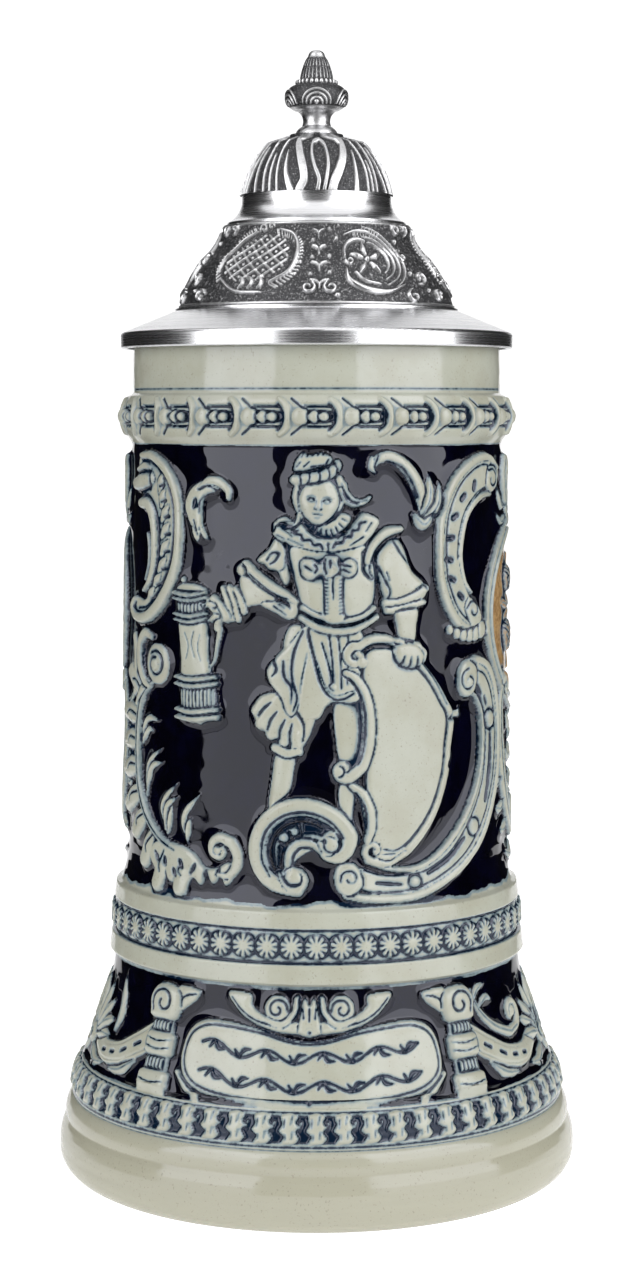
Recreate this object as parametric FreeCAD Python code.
"""Lidded relief beer stein: a slip-cast stoneware mug with a hinged pewter lid.

Row frame, millimetres: origin on the mug's axis at the standing plane, +Z up, the drinker's
show side towards -Y and the handle towards +Y. The lid turns about an X axis behind the rim.
"""

import os
from math import cos, radians, sin

import FreeCAD, Part

V = FreeCAD.Vector
UP = V(0, 0, 1)
TO_RIGHT = V(1, 0, 0)
TO_BACK = V(0, 1, 0)
ORIGIN = V(0, 0, 0)

# ---- mug -------------------------------------------------------------------------------
FOOT_R = 55.8  # widest radius of the rolled foot
STAND_IN_R = 47.0  # the standing ring, inner and outer radius
STAND_OUT_R = 51.0
RECESS_Z = 1.6  # depth of the hollow under the foot
FLOOR_Z = 13.0  # top of the drinking space's floor
DENTIL_Z = (17.2, 24.7)  # toothed band above the foot
STAR_Z = (52.7, 59.0)  # band of small rosettes
WAIST_Z = (48.6, 62.8)  # both plain bands and the rosettes between them
FRIEZE_Z = (157.6, 167.0)  # bolstered frieze under the rim
RIM_R = 39.4
MOUTH_R = 35.0
RIM_Z = 178.2

# ---- handle ----------------------------------------------------------------------------
HANDLE_W = 18.0  # across, along X
HANDLE_T = 11.5  # through, in the plane of the mug's axis
HANDLE_CORNER = 5.0
HANDLE_TOP_Z = 156.0  # height of the level stretch that carries the hinge
HANDLE_TOP_END = 60.0  # how far back the level stretch runs
HANDLE_SHOULDER_R = 20.0
HANDLE_BACK_R = 75.0
HANDLE_TAIL_R = 34.0
HANDLE_ROOT_Y = 34.0  # both ends start inside the wall and are trimmed to it

# ---- hinge -----------------------------------------------------------------------------
AXIS_Y = 53.0
AXIS_Z = 182.5
KNUCKLE_R = 4.2
KNUCKLE_CLEAR = 0.45  # air between a knuckle and the metal that turns past it
PIN_R = 1.5
PIN_SLACK = 0.05  # running clearance in the lid's knuckles
PIN_SEAT = 0.015  # drive fit in the strap's knuckles
FIXED_X = ((-11.0, -7.0), (-2.0, 2.0), (7.0, 11.0))
MOVING_X = ((-6.8, -2.2), (2.2, 6.8))
CAP_R = 3.1
CAP_H = 1.3

# ---- strap round the handle ------------------------------------------------------------
STRAP_Y = (48.6, 57.4)
STRAP_T = 1.8
STRAP_GAP = 0.05
TOWER_T = 6.4  # front to back
TOWER_FOOT_W = 15.0
TOWER_HEAD_W = 22.0

# ---- lid -------------------------------------------------------------------------------
LID_GAP = 0.2  # air between rim and lid when shut
FLANGE_R = 42.1
SKIRT_Z = 177.1
SKIRT_IN_R = 40.7
FLANGE_EDGE_Z = 180.3
LIP_R = (32.6, 34.2)
LIP_Z = 175.2
FLANGE_TOP_Z = 185.6
FRIEZE_TOP_Z = 203.4
COLLAR_TOP_Z = 209.9
DOME_TOP_Z = 223.0
FINIAL_TOP_Z = 241.0
LID_WALL = 1.7
SPIGOT_R = 1.8

# ---- thumb-lift ------------------------------------------------------------------------
LIFT_BASE_Z = 186.7
LIFT_TOP_Z = 214.0
LIFT_HALF_W = 9.0


def edges_of(start, steps, place):
    """Lines to (a, b) and arcs through ((a, b), (a, b)), each placed in space by place(a, b)."""
    edges = []
    here = start
    for step in steps:
        if isinstance(step[0], tuple):
            middle, end = step
            edges.append(Part.Arc(place(*here), place(*middle), place(*end)).toShape())
        else:
            end = step
            edges.append(Part.LineSegment(place(*here), place(*end)).toShape())
        here = end
    return edges, here


def outline(start, steps, place):
    """A closed flat face."""
    edges, end = edges_of(start, steps, place)
    if end != start:
        edges.append(Part.LineSegment(place(*end), place(*start)).toShape())
    return Part.Face(Part.Wire(edges))


def in_profile(r, z):
    return V(r, 0, z)


def turned(start, *steps):
    """A solid of revolution about the mug's axis from a closed (radius, height) outline."""
    return outline(start, steps, in_profile).revolve(ORIGIN, UP, 360)


def side_cut(x_low, x_high, start, *steps):
    """A closed (y, z) outline, seen from the side, extruded from x_low to x_high."""
    face = outline(start, steps, lambda y, z: V(x_low, y, z))
    return face.extrude(V(x_high - x_low, 0, 0))


def front_cut(y_low, y_high, start, *steps):
    """A closed (x, z) outline, seen from the front, extruded from y_low to y_high."""
    face = outline(start, steps, lambda x, z: V(x, y_low, z))
    return face.extrude(V(0, y_high - y_low, 0))


def hinge_rod(radius, x_low, x_high):
    return Part.makeCylinder(radius, x_high - x_low, V(x_low, AXIS_Y, AXIS_Z), TO_RIGHT)


# The mug's outside, from the standing ring up to the rim.
MUG_OUTSIDE = (
    (STAND_OUT_R, 0),
    ((54.6, 2.0), (FOOT_R, 6.2)),
    ((55.5, 9.6), (54.4, 12.2)),
    ((54.4, 14.6), (53.3, 16.6)),
    (52.8, 16.9),
    (53.2, DENTIL_Z[0]),
    ((52.7, 21.0), (50.9, DENTIL_Z[1])),
    (49.5, 25.4),
    ((45.9, 35.5), (43.6, 47.8)),
    (44.9, WAIST_Z[0]),
    (44.4, 52.3),
    (43.8, STAR_Z[0]),
    (43.6, STAR_Z[1]),
    (43.9, 59.3),
    (43.4, WAIST_Z[1]),
    (42.2, 63.5),
    ((41.0, 67.6), (40.6, 74.0)),
    ((40.2, 115.0), (39.6, 156.6)),
    (40.1, FRIEZE_Z[0]),
    ((41.9, 162.2), (40.6, FRIEZE_Z[1])),
    (RIM_R + 0.1, 167.6),
    (RIM_R, 176.8),
    ((39.0, 177.8), (38.1, RIM_Z)),
)


def mug_body():
    """Foot, flared base, waist bands, wall, frieze and rim, with the drinking space inside."""
    return turned(
        (0, RECESS_Z),
        (STAND_IN_R - 1, RECESS_Z),
        (STAND_IN_R, 0),
        *MUG_OUTSIDE,
        (36.2, RIM_Z),
        ((35.3, 177.8), (MOUTH_R, 176.8)),
        (MOUTH_R, 150),
        ((35.4, 105), (36.6, 62)),
        ((38.2, 45), (41.2, 28)),
        ((39.9, 17.8), (33, 13.8)),
        (0, FLOOR_Z),
    )


def mug_filled():
    """The mug's outer shape with no hollow, to trim what is luted onto it."""
    return turned((0, 0), *MUG_OUTSIDE, (0, RIM_Z))


def handle_path():
    """Level top, round shoulder, long back and a tail that curls in to the wall."""
    shoulder = V(0, HANDLE_TOP_END, HANDLE_TOP_Z - HANDLE_SHOULDER_R)
    back = V(0, HANDLE_TOP_END + HANDLE_SHOULDER_R - HANDLE_BACK_R, shoulder.z)

    def along(centre, radius, angle):
        return centre + V(0, radius * cos(radians(angle)), radius * sin(radians(angle)))

    lean = -30.0  # how far the long back turns before the tail
    knee = along(back, HANDLE_BACK_R, lean)
    tail = along(knee, -HANDLE_TAIL_R, lean)
    spots = [
        along(shoulder, HANDLE_SHOULDER_R, 90),
        along(shoulder, HANDLE_SHOULDER_R, 45),
        along(shoulder, HANDLE_SHOULDER_R, 0),
        along(back, HANDLE_BACK_R, lean / 2),
        knee,
        along(tail, HANDLE_TAIL_R, (lean - 90) / 2),
        along(tail, HANDLE_TAIL_R, -90),
    ]
    level = Part.LineSegment(V(0, HANDLE_ROOT_Y, HANDLE_TOP_Z), spots[0]).toShape()
    arcs = [Part.Arc(*spots[i : i + 3]).toShape() for i in (0, 2, 4)]
    end = Part.LineSegment(spots[6], V(0, HANDLE_ROOT_Y, spots[6].z)).toShape()
    return Part.Wire([level, *arcs, end])


def rounded_bar(width, height, corner, y_low, y_high, z_mid):
    """A level bar along Y with round long edges."""
    bar = Part.makeBox(
        width, y_high - y_low, height, V(-width / 2, y_low, z_mid - height / 2)
    )
    long_edges = [
        e for e in bar.Edges if abs(e.tangentAt(e.FirstParameter).dot(TO_BACK)) > 0.99
    ]
    return bar.makeFillet(corner, long_edges)


def handle():
    bar = rounded_bar(HANDLE_W, HANDLE_T, HANDLE_CORNER, HANDLE_ROOT_Y, 50, HANDLE_TOP_Z)
    section = next(f for f in bar.Faces if f.normalAt(0, 0).dot(TO_BACK) < -0.99)
    swept = handle_path().makePipeShell([section.OuterWire], True, False)
    return swept.cut(mug_filled())


def handle_strap():
    """Ring cast round the handle, with a tower that carries three of the hinge's knuckles."""
    inner = rounded_bar(
        HANDLE_W + 2 * STRAP_GAP,
        HANDLE_T + 2 * STRAP_GAP,
        HANDLE_CORNER + STRAP_GAP,
        STRAP_Y[0] - 1,
        STRAP_Y[1] + 1,
        HANDLE_TOP_Z,
    )
    outer = rounded_bar(
        HANDLE_W + 2 * (STRAP_GAP + STRAP_T),
        HANDLE_T + 2 * (STRAP_GAP + STRAP_T),
        HANDLE_CORNER + STRAP_T,
        *STRAP_Y,
        HANDLE_TOP_Z,
    )
    strap_top = HANDLE_TOP_Z + HANDLE_T / 2 + STRAP_GAP
    foot, head, waist_z = TOWER_FOOT_W / 2, TOWER_HEAD_W / 2, 171.0
    tower = front_cut(
        AXIS_Y - TOWER_T / 2,
        AXIS_Y + TOWER_T / 2,
        (-foot - 2, strap_top + 0.4),
        (foot + 2, strap_top + 0.4),
        ((foot, 166.5), (foot, waist_z)),
        ((foot + 1.0, 175.0), (head, 177.0)),
        (head, AXIS_Z),
        (-head, AXIS_Z),
        (-head, 177.0),
        ((-foot - 1.0, 175.0), (-foot, waist_z)),
        ((-foot, 166.5), (-foot - 2, strap_top + 0.4)),
    )
    strap = outer.fuse(tower)
    for x_low, x_high in FIXED_X:
        strap = strap.fuse(hinge_rod(KNUCKLE_R, x_low, x_high))
    between = (
        (FIXED_X[0][1], FIXED_X[1][0]),
        (FIXED_X[1][1], FIXED_X[2][0]),
    )
    for x_low, x_high in between:
        strap = strap.cut(hinge_rod(KNUCKLE_R + KNUCKLE_CLEAR, x_low, x_high))
    strap = strap.cut(hinge_rod(PIN_R + PIN_SEAT, -TOWER_HEAD_W, TOWER_HEAD_W))
    return strap.cut(inner).removeSplitter()


def hinge_pin():
    return hinge_rod(PIN_R, FIXED_X[0][0], FIXED_X[-1][1])


def hinge_cap(side):
    """Domed pewter plug over one end of the pin; side is -1 or 1."""
    start = V(side * FIXED_X[-1][1], AXIS_Y, AXIS_Z)
    dome_r = (CAP_R**2 + CAP_H**2) / (2 * CAP_H)
    ball = Part.makeSphere(dome_r, start - TO_RIGHT * side * (dome_r - CAP_H))
    slab = Part.makeCylinder(CAP_R, CAP_H + 1, start, TO_RIGHT * side)
    return ball.common(slab)


def lid_flange():
    """Turned rim: skirt over the mug's rim, shallow cone, and a lip that centres it."""
    seat_z = RIM_Z + LID_GAP
    return turned(
        (SKIRT_IN_R, SKIRT_Z),
        (FLANGE_R - 0.3, SKIRT_Z),
        (FLANGE_R, SKIRT_Z + 0.3),
        (FLANGE_R, FLANGE_EDGE_Z - 0.4),
        ((FLANGE_R - 0.15, FLANGE_EDGE_Z), (FLANGE_R - 0.6, FLANGE_EDGE_Z + 0.3)),
        (30.4, 185.2),
        (30.4, FLANGE_TOP_Z),
        (27.6, FLANGE_TOP_Z),
        (27.6, 184.2),
        (LIP_R[0], 180.2),
        (LIP_R[0], LIP_Z),
        (LIP_R[1], LIP_Z),
        (LIP_R[1], seat_z),
        (SKIRT_IN_R, seat_z),
    )


def lid_frieze():
    """Cast relief ring: bells out below and draws in above."""
    return turned(
        (29.7, FLANGE_TOP_Z),
        ((27.5, 191.0), (24.1, 196.2)),
        ((21.2, 199.8), (20.0, FRIEZE_TOP_Z)),
        (20.0 - LID_WALL, FRIEZE_TOP_Z),
        ((21.2 - LID_WALL - 0.2, 199.2), (24.1 - LID_WALL, 194.8)),
        ((27.5 - LID_WALL, 190.2), (29.7 - LID_WALL, FLANGE_TOP_Z)),
    )


def lid_collar():
    """Turned hollow moulding between the frieze and the dome."""
    return turned(
        (19.4, FRIEZE_TOP_Z),
        (19.2, 204.0),
        ((16.8, 206.2), (16.1, COLLAR_TOP_Z)),
        (16.1 - LID_WALL, COLLAR_TOP_Z),
        ((16.8 - LID_WALL, 205.8), (19.4 - LID_WALL, FRIEZE_TOP_Z)),
    )


def lid_dome():
    """Cast gadrooned cap, open at the crown for the finial's spigot."""
    return turned(
        (16.5, COLLAR_TOP_Z),
        ((14.3, 216.2), (10.6, 221.3)),
        (5.6, DOME_TOP_Z),
        (SPIGOT_R, DOME_TOP_Z),
        (SPIGOT_R, DOME_TOP_Z - 1.6),
        (5.0, DOME_TOP_Z - 1.7),
        ((12.6, 216.0), (16.5 - LID_WALL, COLLAR_TOP_Z)),
    )


def lid_finial():
    """Turned stem and bulb with a pointed bud on top, and a spigot through the crown."""
    return turned(
        (0, DOME_TOP_Z - 3.2),
        (SPIGOT_R, DOME_TOP_Z - 3.2),
        (SPIGOT_R, DOME_TOP_Z),
        (4.6, DOME_TOP_Z),
        ((4.1, 224.0), (3.2, 224.7)),
        ((3.0, 226.4), (4.2, 228.0)),
        ((6.2, 229.3), (6.6, 230.9)),
        ((6.0, 232.7), (4.4, 233.6)),
        (4.3, 234.4),
        (3.5, 234.7),
        ((2.9, 237.4), (1.8, 239.8)),
        ((1.3, 240.7), (0.4, FINIAL_TOP_Z)),
        (0, FINIAL_TOP_Z),
    )


def flange_filled():
    """The flange's outer shape with no hollow, to trim the shank to it."""
    return turned(
        (0, SKIRT_Z),
        (FLANGE_R, SKIRT_Z),
        (FLANGE_R, FLANGE_EDGE_Z - 0.4),
        ((FLANGE_R - 0.15, FLANGE_EDGE_Z), (FLANGE_R - 0.6, FLANGE_EDGE_Z + 0.3)),
        (30.4, 185.2),
        (0, 185.2),
    )


def lid_shank():
    """Tongue soldered onto the flange that ends in the lid's two knuckles."""
    half = MOVING_X[1][1]
    tongue = side_cut(
        -half,
        half,
        (33.5, 183.0),
        (33.5, 185.2),
        ((37.5, 184.9), (41.0, 184.2)),
        ((44.5, 185.2), (47.5, 186.5)),
        (AXIS_Y, LIFT_BASE_Z),
        (AXIS_Y, AXIS_Z),
        (AXIS_Y - 4.0, 180.6),
        ((44.5, 179.6), (41.8, 178.4)),
        (38.0, 178.4),
    )
    shank = tongue.cut(flange_filled())
    for x_low, x_high in MOVING_X:
        shank = shank.fuse(hinge_rod(KNUCKLE_R, x_low, x_high))
    gaps = ((-half - 1, MOVING_X[0][0]), (MOVING_X[0][1], MOVING_X[1][0]), (half, half + 1))
    for x_low, x_high in gaps:
        shank = shank.cut(hinge_rod(KNUCKLE_R + KNUCKLE_CLEAR, x_low, x_high))
    return shank.cut(hinge_rod(PIN_R + PIN_SLACK, -half - 1, half + 1)).removeSplitter()


def thumb_lift():
    """Curved ornamental plate that the thumb presses back to open the lid."""
    side = side_cut(
        -LIFT_HALF_W - 1,
        LIFT_HALF_W + 1,
        (48.0, LIFT_BASE_Z),
        ((50.3, 193.0), (51.2, 200.0)),
        ((53.0, 208.5), (57.2, LIFT_TOP_Z)),
        (59.6, LIFT_TOP_Z - 1.6),
        ((56.2, 208.0), (54.6, 200.0)),
        ((53.9, 193.0), (AXIS_Y, LIFT_BASE_Z)),
    )
    widest = LIFT_HALF_W
    front = front_cut(
        40,
        70,
        (-5.6, LIFT_BASE_Z),
        (5.6, LIFT_BASE_Z),
        ((4.0, 189.6), (4.4, 193.0)),
        ((7.6, 194.6), (widest, 198.6)),
        ((8.0, 202.6), (5.8, 204.4)),
        ((5.2, 206.8), (6.2, 209.2)),
        ((4.6, 213.0), (0, LIFT_TOP_Z)),
        ((-4.6, 213.0), (-6.2, 209.2)),
        ((-5.2, 206.8), (-5.8, 204.4)),
        ((-8.0, 202.6), (-widest, 198.6)),
        ((-7.6, 194.6), (-4.4, 193.0)),
        ((-4.0, 189.6), (-5.6, LIFT_BASE_Z)),
    )
    return side.common(front)


NODES = {
    "mug_body": mug_body,
    "handle": handle,
    "handle_strap": handle_strap,
    "hinge_pin": hinge_pin,
    "hinge_cap_left": lambda: hinge_cap(-1),
    "hinge_cap_right": lambda: hinge_cap(1),
    "lid_flange": lid_flange,
    "lid_frieze": lid_frieze,
    "lid_collar": lid_collar,
    "lid_dome": lid_dome,
    "lid_finial": lid_finial,
    "lid_shank": lid_shank,
    "thumb_lift": thumb_lift,
}


def main():
    os.makedirs("parts", exist_ok=True)
    for name, make in NODES.items():
        shape = make()
        solids = shape.Solids
        if not shape.isValid() or not solids:
            raise ValueError(f"{name} came out invalid")
        result = solids[0] if len(solids) == 1 else Part.makeCompound(solids)
        result.exportStep(f"parts/{name}.step")
        print(f"{name}: {len(solids)} solid, {result.Volume / 1000:.2f} cm3")


main()
